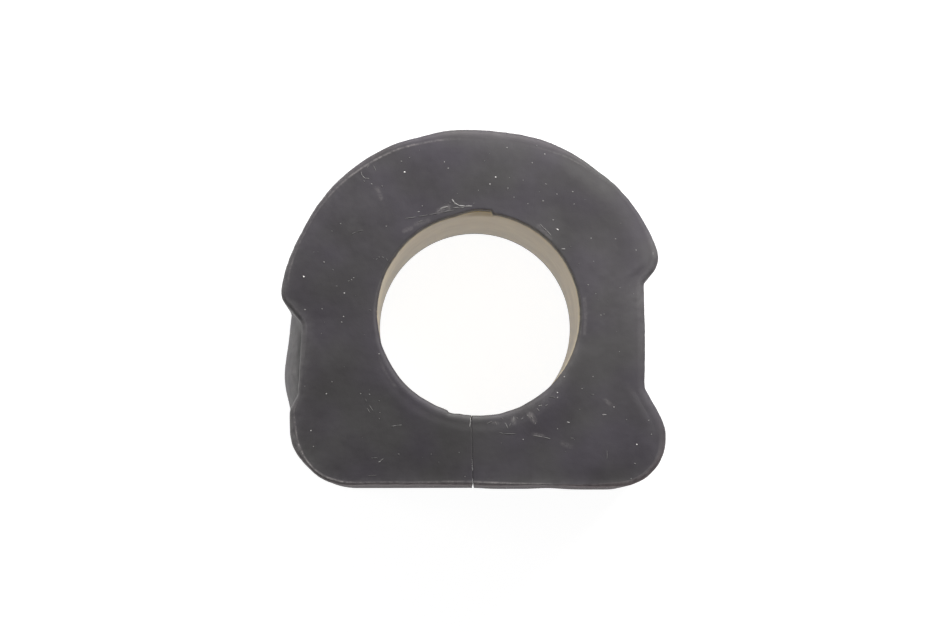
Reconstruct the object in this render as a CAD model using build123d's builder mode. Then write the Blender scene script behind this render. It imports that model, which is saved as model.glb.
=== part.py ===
from build123d import *
import math
import os

# Split sway bar bushing in millimetres: a moulded rubber block with a domed back,
# a lip, a waist and a foot on each side and a flat base, and a thin low-friction
# liner bonded into its bore. The origin is the centre of the bore at mid length.
# The bore runs along Z, the base faces -Y and +X is the side of the larger foot.
# Heights are measured from the bore axis, half widths from the block's mid plane.

# Bore and length
bar_d = 32.0
length = 36.0
mouth_c = 0.8

# Liner and the rubber lip that covers each of its ends
liner_t = 0.9
liner_lip = 1.6

# The bore sits this far to the right of the block's mid plane
bore_offset = 0.45

# Domed back: an arc on each side of a short flat crown
dome_r = 29.65
dome_y = -0.25
crown_w = 2.4

# Right side: lip, waist, and round foot with a straight shoulder that leans in
lip_right_y = 8.1
lip_right_nose = 3.7
waist_right_half = 26.8
waist_right_top = 5.1
foot_right_half = 30.25
foot_right_r = 7.6
foot_right_lean = 30.0

# Left side: lip, waist that widens downwards, and foot
lip_left_y = 2.6
lip_left_nose = 2.4
waist_left_top_half = 27.35
waist_left_top = -1.4
waist_left_low_half = 28.15
waist_left_low = -12.4
foot_left_half = 29.55
foot_left_top = -14.9
foot_left_r = 10.4
foot_left_shoulder = 2.0

# Base below the bore axis, and the fillet of the hollow corners at the waists
base_drop = 27.05
hollow_r = 0.9

# Crowned pad that fills the middle of the left waist
pad_top_half = 29.55
pad_top = 2.2
pad_half = 31.15
pad_peak = -10.0
pad_low = -16.2
pad_peak_r = 12.0
pad_setback = 5.6

# Rounded edge round both end faces
edge_r = 1.1

# Assembly slit from the bore to the base, with a small open notch at the base
slit_w = 0.3
slit_shift = 0.25
slit_lean = 1.5
notch_w = 0.9
notch_h = 0.9

# Sizes that follow from the ones above
bore_r = bar_d / 2
recess_r = bore_r + liner_t
liner_len = length - 2 * liner_lip
mid_x = -bore_offset
slit_x = mid_x - slit_shift
crown_left_x = mid_x - crown_w / 2
crown_right_x = mid_x + crown_w / 2


def dome_reach(height):
    """Half width of one dome arc, from its centre, at a height."""
    return math.sqrt(dome_r**2 - (height - dome_y) ** 2)


def dome_angle(height):
    """Angle above the horizontal of one dome arc at a height."""
    return math.degrees(math.asin((height - dome_y) / dome_r))


# Corners of the outline
lip_right = (crown_right_x + dome_reach(lip_right_y), lip_right_y)
lip_left = (crown_left_x - dome_reach(lip_left_y), lip_left_y)
waist_right_x = mid_x + waist_right_half
waist_right_tip = (waist_right_x, waist_right_top)
waist_left_tip = (mid_x - waist_left_top_half, waist_left_top)
waist_left_toe = (mid_x - waist_left_low_half, waist_left_low)

foot_right_x = mid_x + foot_right_half - foot_right_r
foot_right_y = -base_drop + foot_right_r
lean = math.radians(foot_right_lean)
shoulder_x = foot_right_x + foot_right_r * math.cos(lean)
shoulder_y = foot_right_y + foot_right_r * math.sin(lean)
shoulder_rise = (shoulder_x - waist_right_x) / math.tan(lean)
waist_right_toe = (waist_right_x, shoulder_y + shoulder_rise)

foot_left_out = mid_x - foot_left_half
foot_left_x = foot_left_out + foot_left_r
foot_left_y = -base_drop + foot_left_r
foot_left_tip = (foot_left_out, foot_left_top)

# Outline of the block across the bore
with BuildSketch() as block_outline:
    with BuildLine():
        crown_y = dome_y + dome_r
        Line((crown_left_x, crown_y), (crown_right_x, crown_y))
        CenterArc((crown_right_x, dome_y), dome_r, 90, dome_angle(lip_right_y) - 90)
        Polyline(lip_right, waist_right_tip, waist_right_toe, (shoulder_x, shoulder_y))
        CenterArc(
            (foot_right_x, foot_right_y),
            foot_right_r,
            foot_right_lean,
            -90 - foot_right_lean,
        )
        Line((foot_right_x, -base_drop), (foot_left_x, -base_drop))
        CenterArc((foot_left_x, foot_left_y), foot_left_r, 270, -90)
        Polyline(
            (foot_left_out, foot_left_y),
            foot_left_tip,
            waist_left_toe,
            waist_left_tip,
            lip_left,
        )
        CenterArc(
            (crown_left_x, dome_y),
            dome_r,
            180 - dome_angle(lip_left_y),
            dome_angle(lip_left_y) - 90,
        )
    make_face()
    for corner, radius in (
        (lip_right, lip_right_nose),
        (lip_left, lip_left_nose),
        (foot_left_tip, foot_left_shoulder),
        (waist_right_tip, hollow_r),
        (waist_right_toe, hollow_r),
        (waist_left_tip, hollow_r),
        (waist_left_toe, hollow_r),
    ):
        fillet(block_outline.vertices().sort_by_distance(corner)[0], radius)

# Slit and its notch, shared by the rubber and the liner
slit_run = base_drop + bore_r
with BuildSketch() as slit_profile:
    with Locations((slit_x, -slit_run / 2 - bore_r / 2)):
        Rectangle(slit_w, slit_run, rotation=slit_lean)
    with BuildLine():
        Polyline(
            (slit_x - notch_w / 2, -base_drop),
            (slit_x, -base_drop + notch_h),
            (slit_x + notch_w / 2, -base_drop),
            close=True,
        )
    make_face()

# The pad's outline is turned about an upright axis inside the block
pad_rise = pad_half - (waist_left_top_half + waist_left_low_half) / 2
pad_run = length / 2 - pad_setback
pad_crown_r = (pad_run**2 + pad_rise**2) / (2 * pad_rise)
pad_axis_x = mid_x - pad_half + pad_crown_r
pad_sweep = math.degrees(math.asin(pad_run / pad_crown_r))
pad_tip = (mid_x - pad_half, pad_peak)
with BuildSketch() as pad_outline:
    with BuildLine():
        Polyline(
            (pad_axis_x, pad_top),
            (mid_x - pad_top_half, pad_top),
            pad_tip,
            (foot_left_out, pad_low),
            (pad_axis_x, pad_low),
            close=True,
        )
    make_face()
    fillet(pad_outline.vertices().sort_by_distance(pad_tip)[0], pad_peak_r)

# Rubber block: one half, mirrored about mid length, then bore, recess and slit
with BuildPart() as rubber_body:
    add(block_outline.sketch)
    extrude(amount=length / 2)
    add(pad_outline.sketch)
    revolve(axis=Axis((pad_axis_x, 0, 0), (0, 1, 0)), revolution_arc=pad_sweep)
    mirror(about=Plane.XY)
    Cylinder(bore_r, length, mode=Mode.SUBTRACT)
    end_faces = rubber_body.faces().sort_by(Axis.Z)
    rims = [end_faces[0].outer_wire().edges(), end_faces[-1].outer_wire().edges()]
    fillet(rims[0] + rims[1], edge_r)
    end_faces = rubber_body.faces().sort_by(Axis.Z)
    mouths = [end_faces[0].inner_wires()[0].edges(), end_faces[-1].inner_wires()[0].edges()]
    chamfer(mouths[0] + mouths[1], mouth_c)
    Cylinder(recess_r, liner_len, mode=Mode.SUBTRACT)
    add(slit_profile.sketch)
    extrude(amount=length, both=True, mode=Mode.SUBTRACT)

# Liner: a thin split sleeve, flush with the bore of the rubber lips
with BuildPart() as bore_liner:
    with BuildSketch():
        Circle(recess_r)
        Circle(bore_r, mode=Mode.SUBTRACT)
    extrude(amount=liner_len / 2, both=True)
    add(slit_profile.sketch)
    extrude(amount=length, both=True, mode=Mode.SUBTRACT)

rubber_body.part.label = "rubber_body"
bore_liner.part.label = "bore_liner"

os.makedirs("parts", exist_ok=True)
export_step(rubber_body.part, "parts/rubber_body.step")
export_step(bore_liner.part, "parts/bore_liner.step")
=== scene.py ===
import bpy
import math
import random
from mathutils import Vector, Matrix, noise
from mathutils.bvhtree import BVHTree


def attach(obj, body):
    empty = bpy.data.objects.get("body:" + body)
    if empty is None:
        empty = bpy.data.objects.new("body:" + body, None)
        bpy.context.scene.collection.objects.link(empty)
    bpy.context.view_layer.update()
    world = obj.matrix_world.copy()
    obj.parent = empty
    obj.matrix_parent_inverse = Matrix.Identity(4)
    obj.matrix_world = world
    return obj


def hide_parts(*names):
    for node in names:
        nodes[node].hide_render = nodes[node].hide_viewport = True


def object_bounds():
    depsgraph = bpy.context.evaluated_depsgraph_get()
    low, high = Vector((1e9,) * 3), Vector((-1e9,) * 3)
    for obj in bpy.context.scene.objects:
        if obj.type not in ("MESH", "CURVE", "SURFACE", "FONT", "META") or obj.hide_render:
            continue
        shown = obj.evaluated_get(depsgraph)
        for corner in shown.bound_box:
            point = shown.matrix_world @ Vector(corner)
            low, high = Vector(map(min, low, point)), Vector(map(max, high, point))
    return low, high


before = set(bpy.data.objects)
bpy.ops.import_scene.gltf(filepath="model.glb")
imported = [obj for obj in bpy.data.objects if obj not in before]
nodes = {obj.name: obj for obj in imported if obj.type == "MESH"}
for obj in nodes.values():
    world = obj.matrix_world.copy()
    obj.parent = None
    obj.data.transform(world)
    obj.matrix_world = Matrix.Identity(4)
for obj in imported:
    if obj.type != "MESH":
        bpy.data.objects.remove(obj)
cad_low, cad_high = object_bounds()

# All lengths below are in millimetres, and Blender's own are in metres
MM = 0.001

# Block and liner, as the frame has them
HALF = round(cad_high[2] / MM, 2)
BASE_Y = round(cad_low[1] / MM, 2)
liner_points = [v.co / MM for v in nodes["bore_liner"].data.vertices]
BORE_R = round(min(math.hypot(p.x, p.y) for p in liner_points), 2)
RECESS_R = round(max(math.hypot(p.x, p.y) for p in liner_points), 2)
LINER_END = round(max(p.z for p in liner_points), 2)
EDGE_R = 1.1
MOUTH = 0.8

# How the block's mesh is divided: round the bore, and across each part of its section
COLUMNS = 720
MOUTH_STEPS = 8
FACE_STEPS = 46
EDGE_STEPS = 8
WALL_STEPS = 30
FAR_EDGE_STEPS = 5
FAR_FACE_STEPS = 8
LINER_STEPS = 40

# The rim of the frame's side wall: how exactly it is level, and how far out it lies at least
RIM_SLACK = 0.02
RIM_FROM = 24.5

# The slit: a place on its middle line, its leans down the face and into the depth, and half its width
SLIT_X = -0.72
SLIT_Y = -29.5
SLIT_LEAN = math.tan(math.radians(1.5))
SLIT_DEPTH_LEAN = 0.013
SLIT_AT_BASE = -0.77
SLIT_HALF = 0.001
# It opens a little beside the bore, near the face, and more in the notch at the base
SLIT_OPEN_HALF = 0.04
SLIT_OPEN_Y = (-16.9, -16.2)
SLIT_OPEN_Z = (12.0, 17.5)
NOTCH_HALF = 0.12
NOTCH_TOP = -26.7
NOTCH_DEPTH_LEAN = 0.016
NOTCH_ENDS = (0.05, -0.15)
# Angle beside the slit within which the columns lean onto its faces, in degrees
SLIT_REACH = 14.0

# Lists of stops round the bore: an angle from +X in degrees, then a value there.
# How far the near face's edge lies inside the outline
INSET = [
    (0, 1.4), (18, 1.2), (30, 0.8), (44, 0.5), (60, 1.0), (72, 1.6), (90, 1.8), (102, 1.4), (108, 1.1),
    (125, 0.95), (135, 0.76), (146, 0.55), (158, 0.5), (166, 0.65), (174, 1.0), (190, 0.95),
    (197, 0.6), (204, 0.45), (207, 0.6), (211, 0.95), (216, 1.0), (221.5, 0.4), (231, 0.55),
    (236, 0.36), (241, 0.42), (251, 0.36), (258, 0.48), (266, 0.56), (274, 0.54), (281, 0.38),
    (287, 0.25), (293, 0.18), (300, 0.45), (310, 0.9), (330, 1.3),
]
# How far the near face falls away towards that edge
ROLL = [
    (0, 0.3), (40, 0.32), (60, 0.31), (90, 0.29), (105, 0.18), (130, 0.06), (160, 0.06), (174, 0.2),
    (185, 0.1), (206, 0.02), (290, 0.04), (320, 0.25),
]
# How strong the moulding's flash line is, from 0 to 1
FLASH = [
    (0, 0), (42, 0), (48, 0.12), (60, 0.15), (74, 0.03), (90, 0), (99, 0.1), (106, 0.35), (118, 0.5),
    (138, 0.45), (147, 0.2), (160, 0.2), (167, 0.35), (172, 0), (205, 0), (208, 0.6), (219, 0.8),
    (232, 0.7), (238, 0.3), (250, 0.28), (262, 0.38), (280, 0.6), (290, 0.55), (297, 0),
]
# Unevenness of the outline at the near edge
TRIM = [
    (0, 0), (16, -0.10), (24, 0.05), (42, 0.08), (49, -0.12), (68, 0.04), (82, -0.13), (92, 0.10),
    (99, 0.12), (108, -0.12), (115, 0.12), (136, 0.12), (155, -0.20), (169, 0.12), (182, -0.05),
    (200, -0.15), (209, -0.35), (216, 0.10), (220.5, -0.12), (226, 0.06), (231, 0.06), (236, -0.18),
    (247, -0.20), (268, -0.12), (278, 0.04), (292, -0.08), (305, 0.18), (318, -0.06), (328, -0.15),
    (345, 0.08), (356, 0.10),
]
# Unevenness of the base's far edge
FAR_TRIM = [
    (0, 0), (228, 0), (233, -0.15), (270, -0.17), (276, 0), (289, 0), (292, -0.12), (296, -0.12),
    (299, 0.05), (303, 0.13), (311, 0.12), (318, 0),
]
# Unevenness of the pad at mid length
PAD_TRIM = [
    (0, 0), (178, 0), (186, -0.10), (192, -0.03), (199, -0.18), (206, -0.20), (212, 0),
]
# Width of the rounding at the bore's near mouth
MOUTH_WIDE = [
    (0, 0.6), (30, 0.4), (150, 0.4), (200, 0.7), (230, 1.0), (320, 1.0),
]
# How far the near face dips towards the bore
DIP = [
    (0, 0.03), (40, 0.0), (140, 0.0), (200, 0.06), (230, 0.12), (320, 0.12),
]
# Unevenness of the liner's near edge
RIM_TRIM = [
    (0, 0.13), (24, 0.14), (60, 0.11), (72, 0.10), (84, 0.08), (96, 0.11), (108, 0.04), (120, 0.11),
    (132, 0.09), (144, 0.01), (156, 0.02), (168, -0.04), (180, -0.07), (192, -0.19), (204, 0.03),
    (228, 0.03), (240, -0.05), (248, -0.04), (254, 0.04), (257.5, -0.11), (266, -0.16), (276, -0.04),
    (288, -0.07), (300, -0.08), (312, 0.0), (324, 0.05), (340, 0.10),
]
# How warm and dull the rounded edge and the side wall are
BAND = [
    (0, 0), (50, 0), (64, 0.3), (100, 0.3), (112, 0.1), (120, 0.3), (150, 0.2), (165, 0), (206, 0),
    (222, 0.3), (236, 0.8), (304, 1), (320, 0.7), (335, 0),
]
# How much painted sheen lightens the outer border of the near face
BORDER_SHEEN = [
    (0, 0.28), (12, 0.44), (22, 0.20), (30, 0.08), (45, 0.10), (100, 0.12), (112, 0.08), (122, 0.16),
    (132, 0.28), (150, 0.32), (160, 0.36), (166, 0.40), (175, 0.54), (184, 0.42), (204, 0.42),
    (214, 0.52), (222, 0.46), (240, 0.36), (306, 0.34), (320, 0.34), (328, 0.10), (336, 0.0),
    (348, 0.14),
]
# How much painted sheen lightens the rounded edge between the near face and the side wall
EDGE_SHEEN = [
    (0, 0.30), (12, 0.44), (22, 0.26), (30, 0.05), (45, 0.0), (112, 0.0), (122, 0.08), (138, 0.32),
    (160, 0.50), (175, 0.52), (204, 0.50), (212, 1.0), (228, 1.0), (240, 1.1), (312, 1.1), (322, 0.6),
    (330, 0.05), (348, 0.18),
]
# How much painted sheen lightens the side wall
WALL_SHEEN = [
    (0, 0.15), (120, 0.10), (160, 0.30), (176, 0.45), (185, 0.90), (204, 1.0), (209, 0.30),
    (222, 0.20), (234, 0.0), (306, 0.0), (320, 0.20), (340, 0.10),
]
# How much painted sheen lightens the rounding at the bore's near mouth, and the face beside it
MOUTH_SHEEN = [
    (0, 0.54), (24, 0.80), (36, 0.92), (132, 0.86), (150, 0.52), (180, 0.18), (204, 0.06), (230, 0.0),
    (270, 0.0), (284, 0.04), (300, 0.14), (320, 0.26), (340, 0.34),
]
BESIDE_MOUTH = [
    (0, 0.12), (24, 0.02), (140, 0.0), (170, 0.06), (200, 0.08), (224, 0.0), (270, 0.0), (284, 0.09),
    (300, 0.24), (312, 0.24), (324, 0.22), (340, 0.16),
]

# Stretches of the liner's near edge that stand out or in: how far, then the ends of the rise
# and of the fall, in degrees
RIM_STRETCHES = [(0.48, (104, 90), (81.0, 82.5)), (-0.20, (196, 206), (253.4, 252.2))]
# A bump beside the second one: its height, middle and reach
RIM_BUMP = (0.10, 256, 4)
# Heights of the small waves along the near edge, a slow and a quick one, and along the liner's
SLOW_WAVE = 0.05
QUICK_WAVE = 0.03
RIM_WAVE = 0.05
# The mouth's rounding is at least this much wider than the liner's edge
MOUTH_SPARE = 0.25

# The near face: how far from the outline it starts to fall, and from the mouth to dip
ROLL_REACH = 5.0
DIP_REACH = 1.7
# How much closer together its rows are at its two borders, as a share of their distance
FACE_CROWDING = 0.08
# The flash line: where the face's last row lies beside it, its section and its full height
FLASH_FOOT = 0.36
FLASH_SECTION = [(-0.30, 0.0), (-0.18, 0.35), (-0.08, 1.0), (0.02, 0.8)]
FLASH_HEIGHT = 0.06
# How much of it is left on the whole, and how far that goes up and down, slowly and quickly
FLASH_LEFT = 0.6
FLASH_SLOW = 0.55
FLASH_QUICK = 0.35
# A distance at which nothing of the mouth is left
CLEAR_OF_MOUTH = 9.0
# Distances over which the painted sheen fades from the outline and from the bore's mouth
BORDER_FADE = 1.2
MOUTH_FADE = 0.7
# Height from which the near edge's unevenness and painted sheen fade down the side wall
WALL_FADE_Z = -6.0
# Reach of the pad's unevenness from mid length
PAD_REACH = 14.0
# Painted shadow in the corner of the left waist, between the near edge and the pad: the ends of its
# rise and fall across and along the side wall, then its middle and reach in height
CORNER_X = ((-29.1, -28.6), (-26.0, -28.0))
CORNER_Y = ((-0.5, -3.5), (-14.5, -11.5))
CORNER_Z = (11.6, 5.2)
# Length at the near end over which the liner takes the shape of its edge
RIM_BLEND = 3.0

# Wide faint patches of painted sheen on the near face: centre, reach and strength
SHEEN_PATCHES = [
    ((21.5, 4.0), 14.0, 0.09), ((-18.0, 17.0), 13.0, 0.07), ((-25.0, -3.0), 8.0, 0.04),
    ((-26.0, -18.0), 6.0, 0.07),
]
# Wide darker patches of painted shade on the near face: centre, reach and strength
SHADE_PATCHES = [
    ((-7.0, -19.5), 17.0, 0.17), ((1.0, 23.5), 8.0, 0.09),
]

# Wide scuffs on the near face: how pale, half width, then the places that each one runs through
SCUFFS = [
    (0.16, 0.25, [(-6.3, 16.3), (-5.6, 16.8), (-4.6, 17.1)]),
    (0.10, 0.25, [(-9.8, 14.3), (-7.9, 14.9)]),
    (0.12, 0.22, [(-11.7, 13.2), (-10.5, 13.7)]),
    (0.10, 0.26, [(9.6, 14.0), (10.6, 13.2), (11.4, 12.1)]),
    (0.12, 0.22, [(-15.9, 20.0), (-15.3, 18.4)]),
    (0.14, 0.26, [(5.6, -16.2), (5.6, -17.0)]),
    (0.24, 0.30, [(8.2, -15.8), (8.8, -16.7)]),
    (0.10, 0.22, [(2.0, -16.8), (3.0, -17.1)]),
    (0.12, 0.20, [(8.7, -18.9), (10.2, -19.1)]),
    (0.12, 0.20, [(20.1, -13.5), (20.9, -14.2)]),
    (0.09, 0.26, [(13.3, -20.3), (14.5, -20.8)]),
    (0.08, 0.20, [(16.8, 2.6), (17.0, 0.0), (16.8, -3.0)]),
    (0.10, 0.30, [(-15.6, -5.0), (-14.9, -8.0), (-13.0, -11.0)]),
]

# Where a scuff begins to fade and where it ends, as shares of its half width
SCUFF_CORE = 0.35
SCUFF_END = 2.2

# Thin scratches on the near face: how pale, width, then the places that each one runs through
SCRATCHES = [
    (0.34, 0.18, [(-4.1, 18.3), (-3.7, 17.7), (-3.0, 17.3), (-2.0, 17.2), (-0.9, 17.2)]),
    (0.22, 0.22, [(-6.0, 16.7), (-5.4, 17.0), (-4.8, 17.1)]),
    (0.18, 0.16, [(-3.9, 16.9), (-2.9, 17.0), (-2.2, 17.0)]),
    (0.12, 0.16, [(-9.4, 14.6), (-8.8, 14.9)]),
    (0.15, 0.12, [(-6.3, 16.3), (-5.6, 16.8), (-4.6, 17.1), (-4.4, 16.6), (-5.2, 16.3)]),
    (0.13, 0.12, [(-11.6, 15.2), (-9.6, 15.5), (-7.8, 15.8), (-6.2, 16.1), (-3.6, 16.6)]),
    (0.17, 0.14, [(9.8, 14.4), (10.3, 13.8), (10.9, 13.3), (11.6, 12.5)]),
    (0.24, 0.12, [(-18.5, 22.7), (-18.3, 22.0), (-17.8, 21.6), (-17.2, 21.6)]),
    (0.16, 0.13, [(-17.5, 23.3), (-17.2, 23.8)]),
    (0.16, 0.13, [(-16.5, 23.6), (-16.1, 22.8)]),
    (0.12, 0.10, [(-20.2, 12.6), (-19.3, 13.1), (-18.0, 13.4)]),
    (0.18, 0.12, [(-17.5, -14.7), (-17.0, -15.5)]),
    (0.18, 0.12, [(-17.1, -14.3), (-16.5, -15.3)]),
    (0.12, 0.11, [(-17.7, -13.3), (-17.6, -13.8)]),
    (0.20, 0.11, [(-13.7, -17.6), (-12.8, -17.5), (-12.0, -17.4)]),
    (0.13, 0.11, [(-16.9, -22.6), (-15.7, -22.6)]),
    (0.18, 0.13, [(-15.6, -23.2), (-14.9, -22.7)]),
    (0.11, 0.11, [(-17.4, -25.4), (-15.9, -25.3)]),
    (0.24, 0.13, [(4.2, -17.0), (4.7, -17.9)]),
    (0.14, 0.12, [(4.9, -17.7), (5.1, -17.2)]),
    (0.16, 0.15, [(3.7, -16.3), (3.9, -16.4)]),
    (0.14, 0.14, [(6.1, -16.2), (6.3, -16.5)]),
    (0.18, 0.13, [(6.8, -16.5), (7.1, -16.3)]),
    (0.16, 0.14, [(7.7, -15.8), (7.9, -16.1)]),
    (0.16, 0.12, [(8.9, -17.3), (9.1, -17.1)]),
    (0.24, 0.14, [(9.5, -14.4), (10.0, -14.3)]),
    (0.18, 0.12, [(10.6, -14.4), (10.9, -14.2)]),
    (0.20, 0.16, [(9.3, -14.8), (9.6, -15.2)]),
    (0.18, 0.22, [(5.6, -16.1), (5.6, -16.9)]),
    (0.14, 0.16, [(8.2, -15.9), (8.7, -16.4)]),
    (0.16, 0.12, [(1.4, -17.2), (2.2, -16.8)]),
    (0.16, 0.12, [(2.7, -16.9), (2.9, -17.4)]),
    (0.14, 0.12, [(3.3, -18.6), (4.0, -18.8), (6.0, -18.8)]),
    (0.16, 0.15, [(8.7, -19.1), (10.2, -19.3), (11.4, -19.6)]),
    (0.10, 0.11, [(11.2, -13.0), (12.2, -13.1)]),
    (0.14, 0.10, [(20.3, -21.4), (20.3, -22.8)]),
    (0.30, 0.16, [(-1.18, -16.3), (-1.22, -17.0), (-1.34, -17.7)]),
    (0.12, 0.12, [(-0.88, -24.2), (-0.84, -26.2)]),
]

# Dust on the near face: place, length, width, turn in degrees and how pale
DUST = [
    (-11.6, 22.6, 0.34, 0.26, 0, 0.95), (-27.5, 6.0, 0.40, 0.32, 10, 1.0),
    (2.8, 21.8, 0.30, 0.26, 0, 0.9), (1.9, 20.7, 0.22, 0.2, 0, 0.6), (-21.1, 3.4, 0.28, 0.24, 0, 0.7),
    (25.0, -20.5, 0.28, 0.26, 0, 0.85), (21.4, -14.6, 0.24, 0.22, 0, 0.75),
    (12.5, -12.3, 0.24, 0.22, 0, 0.75), (12.5, -13.1, 0.24, 0.2, 40, 0.5),
    (-23.9, -12.5, 0.24, 0.22, 0, 0.6), (-26.3, -18.3, 0.24, 0.22, 0, 0.5),
    (12.6, 13.5, 0.5, 0.2, -35, 0.8), (-16.8, 20.7, 0.22, 0.2, 0, 0.45),
    (-12.1, 24.3, 0.34, 0.28, 20, 0.22), (-5.3, 24.2, 0.2, 0.34, 0, 0.35),
    (-4.7, 23.2, 0.4, 0.2, 20, 0.3), (-14.5, 14.0, 0.24, 0.22, 0, 0.3),
    (-8.8, 17.2, 0.22, 0.2, 0, 0.35), (-9.4, 16.3, 0.5, 0.16, 5, 0.3),
    (-21.7, 14.4, 0.3, 0.28, 0, 0.22), (10.6, 25.5, 0.26, 0.22, 0, 0.55),
    (4.6, 26.5, 0.34, 0.26, 0, 0.25), (8.6, 24.1, 0.24, 0.22, 0, 0.3),
    (10.8, 20.7, 0.44, 0.14, -25, 0.28), (12.5, 19.1, 0.26, 0.22, 0, 0.35),
    (10.3, 18.0, 0.46, 0.34, 30, 0.2), (15.0, 19.5, 0.3, 0.26, 0, 0.25),
    (11.9, 15.0, 0.3, 0.24, 0, 0.28), (17.9, 12.1, 0.26, 0.22, 0, 0.3),
    (-24.3, 8.3, 0.36, 0.26, 0, 0.28), (-22.3, 4.5, 0.26, 0.24, 0, 0.25),
    (-19.6, 5.8, 0.24, 0.2, 0, 0.3), (-20.4, 5.3, 0.4, 0.14, 35, 0.16),
    (-21.2, -0.3, 0.24, 0.22, 0, 0.45), (-21.5, -1.2, 0.24, 0.22, 0, 0.38),
    (-27.3, 0.8, 0.34, 0.2, 0, 0.4), (-24.6, 0.9, 0.24, 0.3, 0, 0.2),
    (-15.6, -6.2, 0.32, 0.22, 0, 0.4), (-23.0, -10.6, 0.22, 0.22, 0, 0.3),
    (-27.3, -11.3, 0.22, 0.2, 0, 0.22), (-25.9, -20.8, 0.22, 0.24, 0, 0.3),
    (-12.5, -22.0, 0.3, 0.18, 0, 0.3), (-18.5, -12.5, 0.28, 0.22, 0, 0.26),
    (-17.1, -12.6, 0.3, 0.2, 0, 0.22), (-15.5, -23.2, 0.5, 0.24, 20, 0.3),
    (13.6, -9.8, 0.26, 0.24, 0, 0.5), (7.1, -19.7, 0.24, 0.2, 0, 0.42),
    (14.2, -17.0, 0.6, 0.18, -15, 0.42), (19.9, -15.8, 0.85, 0.13, 0, 0.42),
    (27.3, -18.9, 0.24, 0.22, 0, 0.35), (26.9, -16.7, 0.4, 0.18, 30, 0.25),
    (23.4, -16.6, 0.26, 0.22, 0, 0.2), (18.1, -9.8, 0.3, 0.26, 0, 0.22),
    (16.4, -11.7, 0.3, 0.26, 0, 0.2), (24.7, -23.5, 0.36, 0.18, -30, 0.22),
    (24.1, -25.9, 0.22, 0.2, 0, 0.3), (18.0, -12.6, 0.8, 0.13, 0, 0.16),
    (14.8, -19.5, 0.6, 0.15, 0, 0.2), (25.0, 10.2, 0.3, 0.26, 0, 0.25),
    (18.6, 3.3, 0.26, 0.26, 0, 0.18), (19.4, -0.1, 0.28, 0.26, 0, 0.2),
    (17.4, 4.7, 0.4, 0.24, 0, 0.18), (13.5, 10.4, 0.8, 0.28, 5, 0.25), (27.7, 9.7, 0.14, 0.6, 0, 0.25),
    (-17.0, 0.7, 0.5, 0.16, 0, 0.18), (-27.9, -3.3, 0.5, 0.2, 0, 0.4),
    (-16.0, 8.8, 0.34, 0.09, 40, 0.3), (-15.6, 9.1, 0.4, 0.09, 10, 0.3),
    (-15.0, 9.1, 0.4, 0.09, -20, 0.3), (-14.4, 8.7, 0.5, 0.09, -45, 0.25),
]
# How much smaller and duller that dust is drawn
DUST_SIZE = 0.9
DUST_SHADE = 0.8
# Faint dust anywhere on the near face: how many grains, how far from the bore axis, the lowest
# height at which one is kept, length, width as a share of it, and how pale
FACE_GRAINS = 70
FACE_FROM_AXIS = (17.5, 29)
FACE_LOWEST = 17.2
FACE_LENGTHS = (0.10, 0.24)
FACE_WIDTH = 0.8
FACE_SHADES = (0.08, 0.2)
# The same on the sides, with the heights that it lies between and how squarely it is met
SIDE_GRAINS = 160
SIDE_HEIGHTS = (-17, 16.5)
SIDE_SQUARENESS = 0.3
SIDE_LENGTHS = (0.12, 0.34)
SIDE_WIDTH = 0.7
SIDE_SHADES = (0.1, 0.45)
DUST_SEED = 11
# A height from which the near face is looked for, and a surface's slope that counts as level
LOOK_FROM = 40
LEVEL = 0.9
# A grain of dust: corners round it, then size and height above the surface from foot to top
GRAIN_SIDES = 8
GRAIN_RINGS = ((1.0, -0.01), (0.7, 0.04))
GRAIN_TOP = 0.05

# The photograph in its pixels: its width and centre, its focal length, the near end of the bore,
# centre and radius, and the point at which the bore's axis vanishes
IMAGE_WIDTH = 950.0
IMAGE_CENTRE = (475.0, 316.5)
FOCAL = 3229.0
NEAR_BORE = (478.0, 314.6)
NEAR_BORE_R = 101.4
BORE_AXIS = (430.0, 528.5)
SENSOR_WIDTH = 36.0

# Colours of the rubber: its tints and its hues, each with a place in the noise, then its painted
# sheen, how warm its edge is, its painted shade and shadow, and its scuffs
RUBBER_TINTS = [(0.36, (0.040, 0.037, 0.041)), (0.64, (0.056, 0.053, 0.058))]
RUBBER_HUES = [(0.34, (0.99, 1.0, 0.94)), (0.5, (1.0, 0.98, 1.0)), (0.66, (1.01, 0.96, 1.07))]
SHEEN_COLOUR = (0.170, 0.164, 0.166, 1)
WARM_TINT = (1.10, 0.92, 0.94, 1)
PAINTED_SHADE_COLOUR = (0.010, 0.009, 0.009, 1)
SCUFF_COLOUR = (0.44, 0.41, 0.40, 1)
# Tints of the liner and of the dust
LINER_TINTS = [(0.35, (0.545, 0.448, 0.275)), (0.65, (0.642, 0.543, 0.350))]
DUST_TINTS = [(0.3, (0.80, 0.78, 0.76)), (0.7, (1.0, 0.98, 0.96))]
# Light of the sky from below to above, with a height for each colour, and how strong it is
SKY_STOPS = [
    (0.0, (1.0, 0.97, 0.95)),
    (0.12, (0.95, 0.93, 0.91)),
    (0.3, (0.30, 0.30, 0.30)),
    (0.8, (0.10, 0.10, 0.105)),
]
SKY_STRENGTH = 0.54

# The table, half its width in metres and how far it lies below the block in millimetres
TABLE_HALF = 1.5
TABLE_GAP = 0.01
# Lamps: name, place and target in metres, size, power and colour
LAMPS = [
    ("near_key", (0.085, 0.065, 0.11), (0.01, 0.01, 0.01), 0.06, 0.135, (1.0, 0.99, 0.98)),
    ("top_key", (0.04, 0.27, 0.15), (0.0, 0.0, 0.01), 0.12, 1.32, (1.0, 0.99, 0.98)),
    ("base_fill", (0.0, -0.30, 0.02), (0.0, -0.027, 0.01), 0.04, 0.14, (1.0, 0.97, 0.95)),
    ("left_fill", (-0.30, 0.04, 0.07), (0, 0, 0), 0.12, 0.22, (1.0, 0.98, 0.96)),
]


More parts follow.
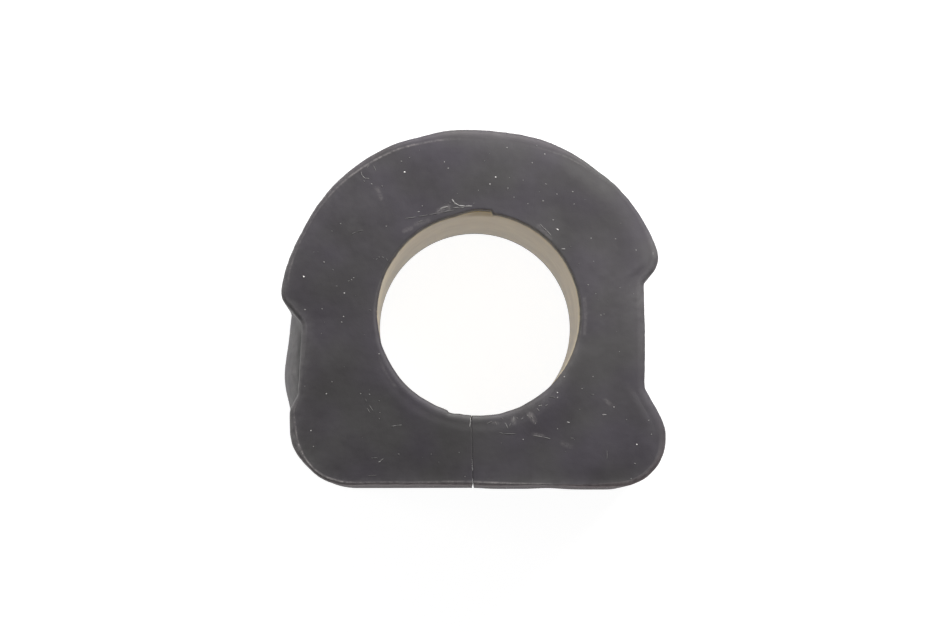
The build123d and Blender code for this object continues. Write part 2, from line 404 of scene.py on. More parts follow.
# Soft steps, stops and noise
def smooth_step(a, b, v):
    """Soft step from 0 at a to 1 at b."""
    t = min(1.0, max(0.0, (v - a) / (b - a)))
    return t * t * (3 - 2 * t)


def bump_at(v, centre, width):
    """Soft bump of height 1 at centre, which ends width away on each side."""
    return smooth_step(width, 0.0, abs(v - centre))


def plateau(v, rise, fall):
    """Soft plateau of height 1, with the ends of its rise and of its fall given."""
    return smooth_step(*rise, v) * smooth_step(*fall, v)


def between(stops, theta):
    """Value on the straight line between the neighbouring stops round the circle."""
    looped = stops + [(stops[0][0] + 360, stops[0][1])]
    for (a, p), (b, q) in zip(looped, looped[1:]):
        if theta <= b:
            return p + (q - p) * (theta - a) / (b - a)
    return stops[0][1]


def along(stops, theta):
    """Value at an angle, with the corners at the stops rounded off."""
    spread = (-2.0, -1.0, 0.0, 1.0, 2.0)
    return sum(between(stops, (theta + s) % 360) for s in spread) / len(spread)


def wobble(x, y, z, scale, seed):
    """Smooth noise between about -1 and 1 at a place in millimetres."""
    return noise.noise(Vector((x / scale + seed, y / scale - seed, z / scale + 2 * seed)))


# The slit
def slit_x(y, z):
    """Middle of the slit: it leans a little, both down the face and into the depth."""
    return SLIT_X - (y - SLIT_Y) * SLIT_LEAN + (HALF - z) * SLIT_DEPTH_LEAN


def slit_gap(y, z):
    """Half the slit's width: nearly shut, with a notch at the base."""
    gap = SLIT_OPEN_HALF * smooth_step(*SLIT_OPEN_Y, y) * smooth_step(*SLIT_OPEN_Z, z)
    top = NOTCH_TOP + (HALF - z) * NOTCH_DEPTH_LEAN
    start, end = NOTCH_ENDS
    return gap + SLIT_HALF + NOTCH_HALF * smooth_step(top + start, top + end, y)


# Outline of the block, read from the frame's own side wall
def cad_ring():
    """Points of the side wall's upper rim round the block, in order from the slit."""
    seen = {}
    for v in nodes["rubber_body"].data.vertices:
        x, y, z = v.co / MM
        if abs(z - (HALF - EDGE_R)) < RIM_SLACK and math.hypot(x, y) > RIM_FROM:
            seen[(round(x, 3), round(y, 3))] = (x, y)
    start = math.atan2(BASE_Y, SLIT_AT_BASE)

    def turn(p):
        return (math.atan2(p[1], p[0]) - start) % (2 * math.pi)
    return sorted(seen.values(), key=turn)


def resample(points, count):
    """The open polyline as evenly spaced points."""
    lengths = [0.0]
    for a, b in zip(points, points[1:]):
        lengths.append(lengths[-1] + math.dist(a, b))
    out, k = [], 0
    for i in range(count):
        s = lengths[-1] * i / (count - 1)
        while k < len(points) - 2 and lengths[k + 1] < s:
            k += 1
        span = lengths[k + 1] - lengths[k] or 1.0
        t = (s - lengths[k]) / span
        a, b = points[k], points[k + 1]
        out.append((a[0] + (b[0] - a[0]) * t, a[1] + (b[1] - a[1]) * t))
    return out


def soften(points, rounds):
    """Rounds off the facets of an open polyline, with its ends kept."""
    for _ in range(rounds):
        inner = [
            ((a[0] + 2 * b[0] + c[0]) / 4, (a[1] + 2 * b[1] + c[1]) / 4)
            for a, b, c in zip(points, points[1:], points[2:])
        ]
        points = [points[0]] + inner + [points[-1]]
    return points


def normals_of(points):
    """Outward normals along an open polyline that runs anticlockwise."""
    out = []
    for i in range(len(points)):
        a = points[max(0, i - 2)]
        b = points[min(len(points) - 1, i + 2)]
        dx, dy = b[0] - a[0], b[1] - a[1]
        size = math.hypot(dx, dy)
        out.append((dy / size, -dx / size))
    return out


RING = soften(resample(cad_ring(), COLUMNS), 3)
RING_N = normals_of(RING)
THETA = [math.degrees(math.atan2(y, x)) % 360 for x, y in RING]
BEARING = [(math.cos(math.radians(t)), math.sin(math.radians(t))) for t in THETA]


def per_column(stops):
    """The stops' values at the columns."""
    return [along(stops, t) for t in THETA]


def near_trim(theta):
    """Unevenness of the near edge, with small waves on it."""
    slow = SLOW_WAVE * wobble(theta / 3, 1, 0, 1, 8.1)
    quick = QUICK_WAVE * wobble(theta, 5, 0, 1, 3.7)
    return along(TRIM, theta) + slow + quick


def rim_radius(theta):
    """Radius of the liner's near edge: flat at the top with a small step, low at the left."""
    r = BORE_R
    for height, rise, fall in RIM_STRETCHES:
        r += height * plateau(theta, rise, fall)
    height, middle, reach = RIM_BUMP
    r += height * bump_at(theta, middle, reach)
    r += along(RIM_TRIM, theta)
    return r + RIM_WAVE * wobble(theta / 4, 0, 0, 1.0, 4.2)


# The value of each list at every column: shapes first, then strengths
NEAR_INSET = per_column(INSET)
NEAR_ROLL = per_column(ROLL)
NEAR_DIP = per_column(DIP)
NEAR_TRIM = [near_trim(t) for t in THETA]
FAR_OFF = per_column(FAR_TRIM)
PAD_OFF = per_column(PAD_TRIM)
RIM = [rim_radius(t) for t in THETA]
MOUTH_R = [max(BORE_R + w, r + MOUTH_SPARE) for w, r in zip(per_column(MOUTH_WIDE), RIM)]
NEAR_FLASH = per_column(FLASH)
NEAR_BAND = per_column(BAND)
NEAR_BORDER_SHEEN = per_column(BORDER_SHEEN)
NEAR_WALL = per_column(WALL_SHEEN)
NEAR_EDGE = per_column(EDGE_SHEEN)
NEAR_MOUTH = per_column(MOUTH_SHEEN)
NEAR_BESIDE = per_column(BESIDE_MOUTH)

# The frame's outer surface, for the side wall and its pad
wall_tree = BVHTree.FromObject(nodes["rubber_body"], bpy.context.evaluated_depsgraph_get())
# Where a ray towards the side wall starts, in metres from the bore axis
RAY_START = 0.08


def wall_point(c, z):
    """Where the frame's side wall lies in a column's direction from the bore axis."""
    out = Vector((*BEARING[c], 0.0))
    hit = wall_tree.ray_cast(out * RAY_START + Vector((0, 0, z * MM)), -out)
    return (hit[0].x / MM, hit[0].y / MM)


# Marks on the rubber, with its painted sheen and painted shade
def segment_gap(x, y, a, b):
    """Distance from a place to a straight segment."""
    dx, dy = b[0] - a[0], b[1] - a[1]
    t = max(0.0, min(1.0, ((x - a[0]) * dx + (y - a[1]) * dy) / (dx * dx + dy * dy)))
    return math.hypot(x - a[0] - t * dx, y - a[1] - t * dy)


def scuff_at(x, y):
    """How pale the scuffs make the near face at a place."""
    pale = 0.0
    for shade, half, path in SCUFFS:
        reach = SCUFF_END * half
        if not (min(p[0] for p in path) - reach < x < max(p[0] for p in path) + reach):
            continue
        if not (min(p[1] for p in path) - reach < y < max(p[1] for p in path) + reach):
            continue
        gap = min(segment_gap(x, y, a, b) for a, b in zip(path, path[1:]))
        pale = max(pale, shade * smooth_step(reach, SCUFF_CORE * half, gap))
    return pale


def sheen_at(c, inside, outward):
    """How strong the painted sheen is: it fades from the outline and from the bore's mouth."""
    border = NEAR_BORDER_SHEEN[c] * math.exp(-inside / BORDER_FADE)
    mouth = NEAR_BESIDE[c] * math.exp(-outward / MOUTH_FADE)
    return max(border, mouth)


def patch_at(patches, x, y):
    """How strong the wide patches are at a place on the near face."""
    strength = 0.0
    for centre, reach, power in patches:
        strength += power * bump_at(math.dist((x, y), centre), 0.0, reach)
    return strength


def corner_shade(x, y, z):
    """How dark the painted shadow is in the corner of the left waist."""
    return plateau(x, *CORNER_X) * plateau(y, *CORNER_Y) * bump_at(z, *CORNER_Z)


# Rows of the block, from the bore over the near face and the side wall to the far face
def circle(radius, z):
    """A round row."""
    return [(radius * bx, radius * by, z) for bx, by in BEARING]


def mouth_rows(add):
    """The rounding from the bore to the near face."""
    for k in range(MOUTH_STEPS + 1):
        a = math.pi / 2 * k / MOUTH_STEPS
        ring, painted_sheen = [], []
        for c, (bx, by) in enumerate(BEARING):
            r = RIM[c] + (MOUTH_R[c] - RIM[c]) * (1 - math.cos(a))
            rise = (MOUTH - NEAR_DIP[c]) * math.sin(a)
            ring.append((r * bx, r * by, HALF - MOUTH + rise))
            # Painted sheen on the mouth's rounding, blending into that beside the mouth
            painted_sheen.append(NEAR_BESIDE[c] + (NEAR_MOUTH[c] - NEAR_BESIDE[c]) * math.cos(a) ** 0.5)
        add(ring, painted_sheen=painted_sheen)


def face_height(c, inside, outward):
    """Height of the near face at a distance inside the outline and outward from the mouth."""
    roll = NEAR_ROLL[c] * smooth_step(ROLL_REACH, 0.0, inside) ** 2
    t = min(1.0, max(0.0, 1 - inside / NEAR_INSET[c])) ** 1.5
    round_off = (EDGE_R - NEAR_ROLL[c]) * (1 - math.sqrt(1 - t * t))
    return HALF - roll - round_off - NEAR_DIP[c] * smooth_step(DIP_REACH, 0.0, outward)


def face_rows(add):
    """The near face, which falls away a little towards its edge."""
    for k in range(1, FACE_STEPS + 1):
        u = k / FACE_STEPS
        u -= FACE_CROWDING * math.sin(2 * math.pi * u) / (2 * math.pi)
        ring, painted_sheen, dark = [], [], []
        for c, ((x, y), (nx, ny), (bx, by)) in enumerate(zip(RING, RING_N, BEARING)):
            start = NEAR_INSET[c] + FLASH_FOOT
            ox, oy = x - nx * (start - NEAR_TRIM[c]), y - ny * (start - NEAR_TRIM[c])
            ix, iy = MOUTH_R[c] * bx, MOUTH_R[c] * by
            px, py = ix + (ox - ix) * u, iy + (oy - iy) * u
            inside = start + math.hypot(ox - px, oy - py)
            outward = math.hypot(px - ix, py - iy)
            ring.append((px, py, face_height(c, inside, outward)))
            # Painted sheen near the outline, beside the mouth and in wide patches; painted shade in
            # wide patches
            painted_sheen.append(sheen_at(c, inside, outward) + patch_at(SHEEN_PATCHES, px, py))
            dark.append(patch_at(SHADE_PATCHES, px, py))
        add(ring, scuffs=True, dark=dark, painted_sheen=painted_sheen)


def flash_left(theta):
    """How much of the broken flash line is left at an angle."""
    slow = FLASH_SLOW * wobble(theta / 1.3, 2, 0, 1, 9.3)
    quick = FLASH_QUICK * wobble(theta * 2.0, 2, 0, 1, 1.3)
    return max(0.0, FLASH_LEFT + slow + quick)


def flash_rows(add):
    """The flash line beside the near face's edge."""
    for shift, rise in FLASH_SECTION:
        ring, pale, painted_sheen = [], [], []
        for c, ((x, y), (nx, ny), t) in enumerate(zip(RING, RING_N, THETA)):
            power = NEAR_FLASH[c] * flash_left(t)
            d = NEAR_INSET[c] - shift
            z = face_height(c, d, CLEAR_OF_MOUTH) + FLASH_HEIGHT * rise * power
            d -= NEAR_TRIM[c]
            ring.append((x - nx * d, y - ny * d, z))
            pale.append(rise * power)
            # Painted sheen beside the flash line
            painted_sheen.append(sheen_at(c, d, CLEAR_OF_MOUTH) + patch_at(SHEEN_PATCHES, x, y))
        add(ring, pale=pale, painted_sheen=painted_sheen)


def near_edge_rows(add):
    """The rounded edge from the near face to the side wall."""
    for k in range(1, EDGE_STEPS + 1):
        a = math.pi / 2 * k / EDGE_STEPS
        ring, painted_sheen = [], []
        for c, ((x, y), (nx, ny)) in enumerate(zip(RING, RING_N)):
            d = NEAR_INSET[c] * (1 - math.sin(a))
            z = face_height(c, d, CLEAR_OF_MOUTH)
            # Painted sheen over the rounded edge, rising to the edge's own strength
            start = sheen_at(c, d, CLEAR_OF_MOUTH) + patch_at(SHEEN_PATCHES, x, y)
            painted_sheen.append(start + (NEAR_EDGE[c] - start) * math.sqrt(math.sin(a)))
            d -= NEAR_TRIM[c]
            ring.append((x - nx * d, y - ny * d, z))
        add(ring, band=math.sin(a), painted_sheen=painted_sheen)


def wall_rows(add):
    """The side wall, with the pad, from the near edge to the far one."""
    depth = HALF - EDGE_R
    for k in range(1, WALL_STEPS):
        z = depth - 2 * depth * k / WALL_STEPS
        ring = [wall_point(c, z) for c in range(COLUMNS)]
        ring[0], ring[-1] = RING[0], RING[-1]
        ring = soften(ring, 2)
        fade = smooth_step(WALL_FADE_Z, depth, z)
        middle = bump_at(z, 0.0, PAD_REACH)
        moved = []
        for c, ((x, y), (nx, ny)) in enumerate(zip(ring, RING_N)):
            w = NEAR_TRIM[c] * fade + FAR_OFF[c] * (1 - fade) + PAD_OFF[c] * middle
            moved.append((x + nx * w, y + ny * w, z))
        # Painted shadow in the corner of the left waist, and painted sheen fading down the side wall
        shade = [corner_shade(*place) for place in moved]
        painted_sheen = [b * fade for b in NEAR_WALL]
        add(moved, band=1.0, dark=shade, painted_sheen=painted_sheen)


def far_edge_rows(add):
    """The rounded edge from the side wall to the far face."""
    for k in range(FAR_EDGE_STEPS + 1):
        a = math.pi / 2 * k / FAR_EDGE_STEPS
        z = -HALF + EDGE_R * (1 - math.sin(a))
        ring = []
        for (x, y), (nx, ny), w in zip(RING, RING_N, FAR_OFF):
            d = EDGE_R * (1 - math.cos(a)) - w
            ring.append((x - nx * d, y - ny * d, z))
        add(ring)


def far_rows(add):
    """The far face and the far mouth."""
    for k in range(1, FAR_FACE_STEPS):
        u = k / FAR_FACE_STEPS
        ring = []
        for (x, y), (nx, ny), (bx, by) in zip(RING, RING_N, BEARING):
            ox, oy = x - nx * EDGE_R, y - ny * EDGE_R
            ix, iy = (BORE_R + MOUTH) * bx, (BORE_R + MOUTH) * by
            ring.append((ox + (ix - ox) * u, oy + (iy - oy) * u, -HALF))
        add(ring)
    for k in range(FAR_EDGE_STEPS + 1):
        a = math.pi / 2 * k / FAR_EDGE_STEPS
        add(circle(BORE_R + MOUTH * (1 - math.sin(a)), -HALF + MOUTH * (1 - math.cos(a))))


def to_slit(x, y, z, column):
    """Leans the columns beside the slit onto its faces."""
    t = THETA[column]
    away = min((t - THETA[0]) % 360, (THETA[0] - t) % 360)
    pull = smooth_step(SLIT_REACH, 0.0, away)
    if pull <= 0:
        return x, y, z
    first = column < COLUMNS / 2
    bx = BEARING[0 if first else -1][0]
    side = 1 if first else -1
    target = slit_x(y, z) + side * slit_gap(y, z)
    return x + pull * (target - math.hypot(x, y) * bx), y, z


def body_rows():
    """All rows of the block, the two parts of the slit's faces, and the marks, painted sheen and
    painted shade at each point.
    """
    rows = []
    # Marks at each point: pale for scuffs and the flash line, band for the warm dull edge, dark for
    # painted shade and shadow, and the last for painted sheen
    marks = {"pale": [], "band": [], "dark": [], "painted_sheen": []}
    none = [0.0] * COLUMNS

    def add(points, pale=None, band=0.0, scuffs=False, dark=None, painted_sheen=None):
        points = [to_slit(x, y, z, c) for c, (x, y, z) in enumerate(points)]
        if scuffs:
            pale = [scuff_at(x, y) for x, y, z in points]
        rows.append(points)
        marks["pale"] += pale or none
        marks["band"] += [band * b for b in NEAR_BAND]
        marks["dark"] += dark or none
        marks["painted_sheen"] += painted_sheen or none

    add(circle(RECESS_R, 0.0))
    add(circle(RECESS_R, LINER_END))
    add([(r * bx, r * by, LINER_END) for r, (bx, by) in zip(RIM, BEARING)])
    mouth_rows(add)
    face_rows(add)
    flash_rows(add)
    near_end = len(rows) - 1
    near_edge_rows(add)
    wall_rows(add)
    far_edge_rows(add)
    far_end = len(rows) - 1
    far_rows(add)
    add(circle(BORE_R, -LINER_END))
    add(circle(RECESS_R, -LINER_END))
    inner = list(range(near_end + 1)) + list(range(far_end, len(rows)))
    outer = list(range(near_end, far_end + 1))
    return rows, [inner, outer], marks


def liner_rows():
    """The sleeve's inside from end to end, then its outside."""
    rows = []
    for k in range(LINER_STEPS + 1):
        z = -LINER_END + 2 * LINER_END * k / LINER_STEPS
        blend = smooth_step(LINER_END - RIM_BLEND, LINER_END, z)
        radii = [BORE_R + (r - BORE_R) * blend for r in RIM]
        rows.append([(r * bx, r * by, z) for r, (bx, by) in zip(radii, BEARING)])
    rows += [circle(RECESS_R, LINER_END), circle(RECESS_R, -LINER_END)]
    return [[to_slit(x, y, z, c) for c, (x, y, z) in enumerate(row)] for row in rows]


# Meshes and objects
def grid_mesh(name, rows, ends):
    """A mesh over rows that close into a section, with the slit's faces as its ends."""
    count = len(rows[0])
    verts = [Vector(p) * MM for row in rows for p in row]
    faces = []
    for r in range(len(rows)):
        s = (r + 1) % len(rows)
        for c in range(count - 1):
            faces.append((r * count + c, s * count + c, s * count + c + 1, r * count + c + 1))
    for end in ends:
        faces.append(tuple(r * count for r in reversed(end)))
        faces.append(tuple(r * count + count - 1 for r in end))
    mesh = bpy.data.meshes.new(name)
    mesh.from_pydata(verts, [], faces)
    mesh.validate()
    return mesh


def paint(mesh, name, values):
    """Keeps one number for each vertex, for the material to read."""
    layer = mesh.attributes.new(name, "FLOAT", "POINT")
    layer.data.foreach_set("value", values)


def make_object(name, mesh, material):
    """An object with smooth shading and one material."""
    obj = bpy.data.objects.new(name, mesh)
    bpy.context.scene.collection.objects.link(obj)
    mesh.materials.append(material)
    for polygon in mesh.polygons:
        polygon.use_smooth = True
    return obj


# Building blocks of the materials
def new_material(name):
    """An empty material and its node tree."""
    material = bpy.data.materials.new(name)
    material.use_nodes = True
    tree = material.node_tree
    tree.nodes.clear()
    return material, tree


def node(tree, kind, **values):
    """A new node with some of its inputs or settings given."""
    n = tree.nodes.new(kind)
    for key, value in values.items():
        if key in n.inputs:
            n.inputs[key].default_value = value
        else:
            setattr(n, key, value)
    return n


def surface(tree):
    """The shader of a surface, joined to the material's output."""
    shader = node(tree, "ShaderNodeBsdfPrincipled")
    out = node(tree, "ShaderNodeOutputMaterial")
    tree.links.new(shader.outputs["BSDF"], out.inputs["Surface"])
    return shader


def clouds_of(tree, coords, scale, detail=3.0, rough=0.6):
    """Noise over the object's own coordinates."""
    n = node(tree, "ShaderNodeTexNoise", Scale=scale, Detail=detail, Roughness=rough)
    tree.links.new(coords.outputs["Object"], n.inputs["Vector"])
    return n.outputs["Fac"]


def coloured(tree, value, stops):
    """The colour that the stops give a value."""
    r = tree.nodes.new("ShaderNodeValToRGB")
    elements = r.color_ramp.elements
    while len(elements) < len(stops):
        elements.new(0.5)
    for e, (place, colour) in zip(elements, stops):
        e.position = place
        e.color = (*colour, 1)
    tree.links.new(value, r.inputs["Fac"])
    return r.outputs["Color"]


def mix_colour(tree, factor, first, second, kind="MIX"):
    """Mixes a second colour over a first one, and gives back the colour."""
    mix = node(tree, "ShaderNodeMix", data_type="RGBA", blend_type=kind)
    for socket, value in ((mix.inputs[0], factor), (mix.inputs[6], first), (mix.inputs[7], second)):
        if isinstance(value, bpy.types.NodeSocket):
            tree.links.new(value, socket)
        else:
            socket.default_value = value
    return mix.outputs[2]


def stretched(tree, value, to_low, to_high, low=0.0, high=1.0):
    """A value's range mapped onto another one."""
    n = node(tree, "ShaderNodeMapRange")
    ends = (("From Min", low), ("From Max", high), ("To Min", to_low), ("To Max", to_high))
    for name, end in ends:
        n.inputs[name].default_value = end
    tree.links.new(value, n.inputs["Value"])
    return n.outputs["Result"]


def product(tree, first, second):
    """Two values multiplied, at most 1."""
    n = node(tree, "ShaderNodeMath", operation="MULTIPLY", use_clamp=True)
    tree.links.new(first, n.inputs[0])
    tree.links.new(second, n.inputs[1])
    return n.outputs[0]


def mark(tree, name):
    """What paint() kept in the mesh under a name."""
    return node(tree, "ShaderNodeAttribute", attribute_name=name).outputs["Fac"]


def bumpy(tree, height, strength, distance, under=None):
    """The normal of a rough surface, over that of a wider roughness."""
    n = node(tree, "ShaderNodeBump", Strength=strength, Distance=distance)
    tree.links.new(height, n.inputs["Height"])
    if under:
        tree.links.new(under, n.inputs["Normal"])
    return n.outputs["Normal"]


# Materials
def clean_rubber(tree, coords):
    """Colour of the clean rubber, in soft patches of tint and hue."""
    tint_noise = clouds_of(tree, coords, 95.0, 4.0)
    tint = coloured(tree, tint_noise, RUBBER_TINTS)
    hue_noise = clouds_of(tree, coords, 130.0, 1.0, 0.4)
    hue = coloured(tree, hue_noise, RUBBER_HUES)
    return mix_colour(tree, 1.0, tint, hue, "MULTIPLY")


def marked_rubber(tree, coords, colour):
    """The rubber with its painted sheen, its warm edge, its painted shade and its scuffs."""
    # Painted sheen, made uneven by a mottle of noise
    mottle = clouds_of(tree, coords, 750.0, 4.0, 0.7)
    uneven = stretched(tree, mottle, 0.65, 1.3, 0.35, 0.65)
    painted_sheen = product(tree, mark(tree, "painted_sheen"), uneven)
    colour = mix_colour(tree, painted_sheen, colour, SHEEN_COLOUR)
    warm = mix_colour(tree, 1.0, colour, WARM_TINT, "MULTIPLY")
    colour = mix_colour(tree, mark(tree, "band"), colour, warm)
    # Painted shade and shadow from the dark mark
    colour = mix_colour(tree, mark(tree, "dark"), colour, PAINTED_SHADE_COLOUR)
    grain = clouds_of(tree, coords, 2200.0, 5.0, 0.75)
    pale = product(tree, mark(tree, "pale"), stretched(tree, grain, 0.2, 1.1, 0.38, 0.60))
    return mix_colour(tree, pale, colour, SCUFF_COLOUR)


def rubber_material():
    """Matt black moulded rubber, duller on its edge and its side wall."""
    material, tree = new_material("moulded_rubber")
    shader = surface(tree)
    shader.inputs["IOR"].default_value = 1.5
    coords = node(tree, "ShaderNodeTexCoord")
    colour = marked_rubber(tree, coords, clean_rubber(tree, coords))
    gloss = stretched(tree, mark(tree, "band"), 0.42, 0.10)
    fine = clouds_of(tree, coords, 1500.0, 6.0, 0.65)
    dents = bumpy(tree, clouds_of(tree, coords, 260.0, 2.0, 0.5), 0.25, 0.0004)
    tree.links.new(colour, shader.inputs["Base Color"])
    tree.links.new(gloss, shader.inputs["Specular IOR Level"])
    tree.links.new(stretched(tree, fine, 0.50, 0.70), shader.inputs["Roughness"])
    tree.links.new(bumpy(tree, fine, 0.3, 0.00005, dents), shader.inputs["Normal"])
    return material


def liner_material():
    """Cream low-friction lining with a faint roughness."""
    material, tree = new_material("bonded_liner")
    shader = surface(tree)
    shader.inputs["Specular IOR Level"].default_value = 0.55
    shader.inputs["Roughness"].default_value = 0.42
    coords = node(tree, "ShaderNodeTexCoord")
    tint_noise = clouds_of(tree, coords, 140.0, 5.0)
    tint = coloured(tree, tint_noise, LINER_TINTS)
    rough = bumpy(tree, clouds_of(tree, coords, 1800.0), 0.25, 0.00005)
    tree.links.new(tint, shader.inputs["Base Color"])
    tree.links.new(rough, shader.inputs["Normal"])
    return material


def dust_material():
    """Pale dust, with each grain's own shade."""
    material, tree = new_material("pale_dust")
    shader = surface(tree)
    shader.inputs["Roughness"].default_value = 0.8
    coords = node(tree, "ShaderNodeTexCoord")
    grain = clouds_of(tree, coords, 6000.0)
    tint = coloured(tree, grain, DUST_TINTS)
    shade = node(tree, "ShaderNodeAttribute", attribute_name="shade")
    colour = mix_colour(tree, 1.0, tint, shade.outputs["Color"], "MULTIPLY")
    tree.links.new(colour, shader.inputs["Base Color"])
    return material


# Pieces
def ride(piece):
    """Fixes a piece to the block, under its root body."""
    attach(piece, "root")


def make_block():
    """The rubber block, in place of the frame's."""
    rows, ends, marks = body_rows()
    mesh = grid_mesh("block", rows, ends)
    for name, values in marks.items():
        paint(mesh, name, values)
    block = make_object("rubber_block", mesh, rubber_material())
    ride(block)
    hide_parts("rubber_body")
    return block


def make_liner():
    """The liner, in place of the frame's."""
    rows = liner_rows()
    mesh = grid_mesh("sleeve", rows, [list(range(len(rows)))])
    liner = make_object("liner_sleeve", mesh, liner_material())
    ride(liner)
    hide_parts("bore_liner")


class Grains:
    """Flat grains, domed a little, gathered for one mesh."""

    def __init__(self, block):
        self.tree = BVHTree.FromObject(block, bpy.context.evaluated_depsgraph_get())
        self.verts = []
        self.faces = []
        self.shades = []

    def on_face(self, x, y):
        """Place and normal on the near face."""
        hit = self.tree.ray_cast(Vector((x, y, LOOK_FROM)) * MM, Vector((0, 0, -1)))
        return hit[0], hit[1]

    def on_side(self, out, z):
        """Place and normal on the side wall, seen from a direction."""
        hit = self.tree.ray_cast(out * RAY_START + Vector((0, 0, z * MM)), -out)
        return hit[0], hit[1]

    def add(self, place, normal, long, wide, turn, shade):
        """Adds one grain on the surface."""
        place = place / MM
        across = normal.orthogonal() if abs(normal.z) < LEVEL else Vector((1, 0, 0))
        across = (across - normal * across.dot(normal)).normalized()
        up = normal.cross(across)
        ca, sa = math.cos(math.radians(turn)), math.sin(math.radians(turn))
        first = len(self.verts)
        for size, height in GRAIN_RINGS:
            for k in range(GRAIN_SIDES):
                a = 2 * math.pi * k / GRAIN_SIDES
                u, v = long / 2 * size * math.cos(a), wide / 2 * size * math.sin(a)
                flat = across * (u * ca - v * sa) + up * (u * sa + v * ca)
                self.verts.append(place + flat + normal * height)
        self.verts.append(place + normal * GRAIN_TOP)
        upper = first + GRAIN_SIDES
        top = upper + GRAIN_SIDES
        for k in range(GRAIN_SIDES):
            n = (k + 1) % GRAIN_SIDES
            self.faces.append((first + k, first + n, upper + n, upper + k))
            self.faces.append((upper + k, upper + n, top))
        self.shades.extend([shade] * (2 * GRAIN_SIDES + 1))


def add_seen_dust(grains):
    """The dust and the scratches that the photograph shows."""
    for x, y, long, wide, turn, shade in DUST:
        place, normal = grains.on_face(x, y)
        if place:
            size = (DUST_SIZE * long, DUST_SIZE * wide)
            grains.add(place, normal, *size, turn, DUST_SHADE * shade)
    for shade, wide, path in SCRATCHES:
        for (ax, ay), (bx, by) in zip(path, path[1:]):
            place, normal = grains.on_face((ax + bx) / 2, (ay + by) / 2)
            long = math.hypot(bx - ax, by - ay) + wide
            turn = math.degrees(math.atan2(by - ay, bx - ax))
            if place:
                grains.add(place, normal, long, wide, turn, shade)


def add_faint_dust(grains, chance):
    """Faint dust by chance, on the near face and then on the sides."""
    for _ in range(FACE_GRAINS):
        a, r = chance.uniform(0, 360), chance.uniform(*FACE_FROM_AXIS)
        place, normal = grains.on_face(r * math.cos(math.radians(a)), r * math.sin(math.radians(a)))
        if place and place.z > FACE_LOWEST * MM:
            long = chance.uniform(*FACE_LENGTHS)
            grains.add(place, normal, long, long * FACE_WIDTH, a, chance.uniform(*FACE_SHADES))
    for _ in range(SIDE_GRAINS):
        a, z = chance.uniform(0, 2 * math.pi), chance.uniform(*SIDE_HEIGHTS)
        out = Vector((math.cos(a), math.sin(a), 0))
        place, normal = grains.on_side(out, z)
        if place and normal.dot(out) > SIDE_SQUARENESS:
            long = chance.uniform(*SIDE_LENGTHS)
            grains.add(place, normal, long, long * SIDE_WIDTH, z * 40, chance.uniform(*SIDE_SHADES))


def make_dust(block):
    """All dust and scratches, as one piece on the block."""
    grains = Grains(block)
    add_seen_dust(grains)
    add_faint_dust(grains, random.Random(DUST_SEED))
    mesh = bpy.data.meshes.new("dust")
    mesh.from_pydata([v * MM for v in grains.verts], [], grains.faces)
    paint(mesh, "shade", grains.shades)
    dust = make_object("dust_flecks", mesh, dust_material())
    ride(dust)


# Table, lamps, world and camera
def make_table():
    """A pale table, which the camera sees almost white."""
    material, tree = new_material("white_table")
    link = tree.links.new
    out = node(tree, "ShaderNodeOutputMaterial")
    path = node(tree, "ShaderNodeLightPath")
    plain = node(tree, "ShaderNodeBsdfDiffuse", Color=(0.8, 0.8, 0.8, 1))
    glow = node(tree, "ShaderNodeEmission", Color=(1, 1, 1, 1), Strength=0.95)
    faint = node(tree, "ShaderNodeBsdfDiffuse", Color=(0.3, 0.3, 0.3, 1))
    both = node(tree, "ShaderNodeAddShader")
    link(glow.outputs[0], both.inputs[0])
    link(faint.outputs[0], both.inputs[1])
    seen = node(tree, "ShaderNodeMath", operation="MAXIMUM")
    link(path.outputs["Is Camera Ray"], seen.inputs[0])
    link(path.outputs["Is Glossy Ray"], seen.inputs[1])
    mix = node(tree, "ShaderNodeMixShader")
    link(seen.outputs[0], mix.inputs[0])
    link(plain.outputs[0], mix.inputs[1])
    link(both.outputs[0], mix.inputs[2])
    link(mix.outputs[0], out.inputs["Surface"])
    mesh = bpy.data.meshes.new("table")
    s, z = TABLE_HALF, -(HALF + TABLE_GAP) * MM
    mesh.from_pydata([(-s, -s, z), (s, -s, z), (s, s, z), (-s, s, z)], [], [(0, 1, 2, 3)])
    floor = make_object("table_top", mesh, material)


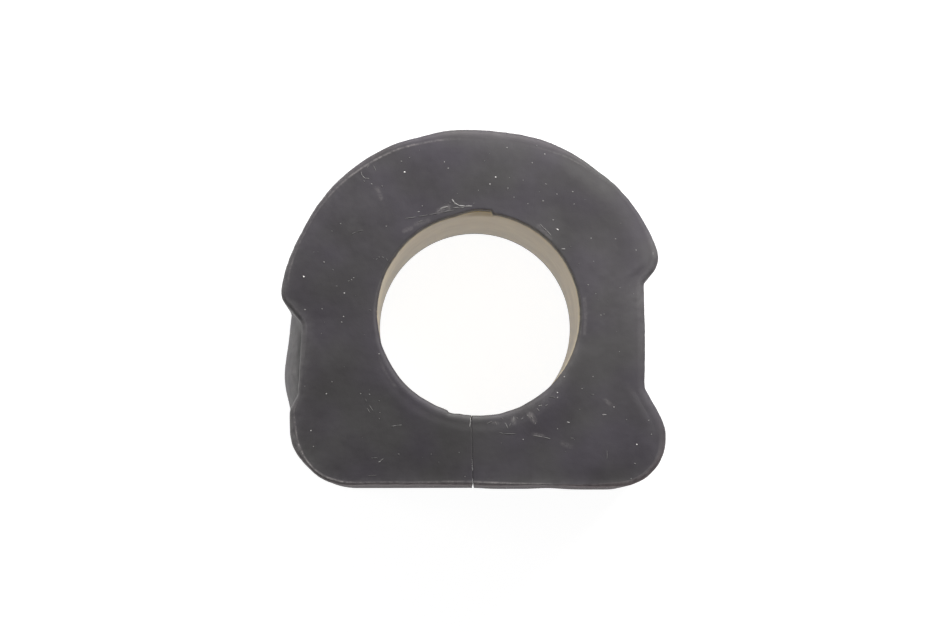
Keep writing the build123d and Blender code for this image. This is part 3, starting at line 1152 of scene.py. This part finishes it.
def make_world():
    """Soft light that is stronger from below, seen as white by the camera."""
    world = bpy.data.worlds.new("studio")
    bpy.context.scene.world = world
    world.use_nodes = True
    tree = world.node_tree
    tree.nodes.clear()
    link = tree.links.new
    out = node(tree, "ShaderNodeOutputWorld")
    path = node(tree, "ShaderNodeLightPath")
    coords = node(tree, "ShaderNodeTexCoord")
    parts = node(tree, "ShaderNodeSeparateXYZ")
    link(coords.outputs["Generated"], parts.inputs[0])
    soft = node(tree, "ShaderNodeBackground", Strength=SKY_STRENGTH)
    link(coloured(tree, parts.outputs["Z"], SKY_STOPS), soft.inputs["Color"])
    white = node(tree, "ShaderNodeBackground", Color=(1, 1, 1, 1), Strength=1.0)
    mix = node(tree, "ShaderNodeMixShader")
    link(path.outputs["Is Camera Ray"], mix.inputs[0])
    link(soft.outputs[0], mix.inputs[1])
    link(white.outputs[0], mix.inputs[2])
    link(mix.outputs[0], out.inputs["Surface"])


def make_lamp(name, place, target, size, power, colour):
    """A round area lamp that points at its target."""
    data = bpy.data.lights.new(name, "AREA")
    data.shape = "DISK"
    data.size = size
    data.energy = power
    data.color = colour
    lamp = bpy.data.objects.new(name, data)
    bpy.context.scene.collection.objects.link(lamp)
    lamp.location = place
    aim = Vector(target) - Vector(place)
    lamp.rotation_mode = "QUATERNION"
    lamp.rotation_quaternion = aim.to_track_quat("-Z", "Y")


def towards(pixel):
    """Direction from the camera to a pixel, with x right, y down and z forward."""
    return Vector((pixel[0] - IMAGE_CENTRE[0], pixel[1] - IMAGE_CENTRE[1], FOCAL))


def make_camera():
    """The photograph's camera, from the near end of the bore and the point where its axis vanishes."""
    z_axis = -towards(BORE_AXIS).normalized()
    up = Vector((0, -1, 0))
    y_axis = (up - z_axis * up.dot(z_axis)).normalized()
    x_axis = y_axis.cross(z_axis)
    to_world = Matrix((x_axis, y_axis, z_axis))
    distance = FOCAL * BORE_R / NEAR_BORE_R
    near = towards(NEAR_BORE) * (distance / FOCAL)
    place = Vector((0, 0, HALF)) - to_world @ near
    right = to_world @ Vector((1, 0, 0))
    top = to_world @ Vector((0, -1, 0))
    back = to_world @ Vector((0, 0, -1))
    data = bpy.data.cameras.new("photo_view")
    data.sensor_fit = "HORIZONTAL"
    data.sensor_width = SENSOR_WIDTH
    data.lens = FOCAL / IMAGE_WIDTH * SENSOR_WIDTH
    data.clip_start, data.clip_end = 0.01, 20.0
    camera = bpy.data.objects.new("photo_view", data)
    bpy.context.scene.collection.objects.link(camera)
    turn = Matrix((right, top, back)).transposed().to_4x4()
    camera.matrix_world = Matrix.Translation(place * MM) @ turn
    bpy.context.scene.camera = camera


make_liner()
make_dust(make_block())
make_table()
make_world()
for lamp in LAMPS:
    make_lamp(*lamp)
make_camera()
bpy.context.scene.view_settings.view_transform = "Standard"
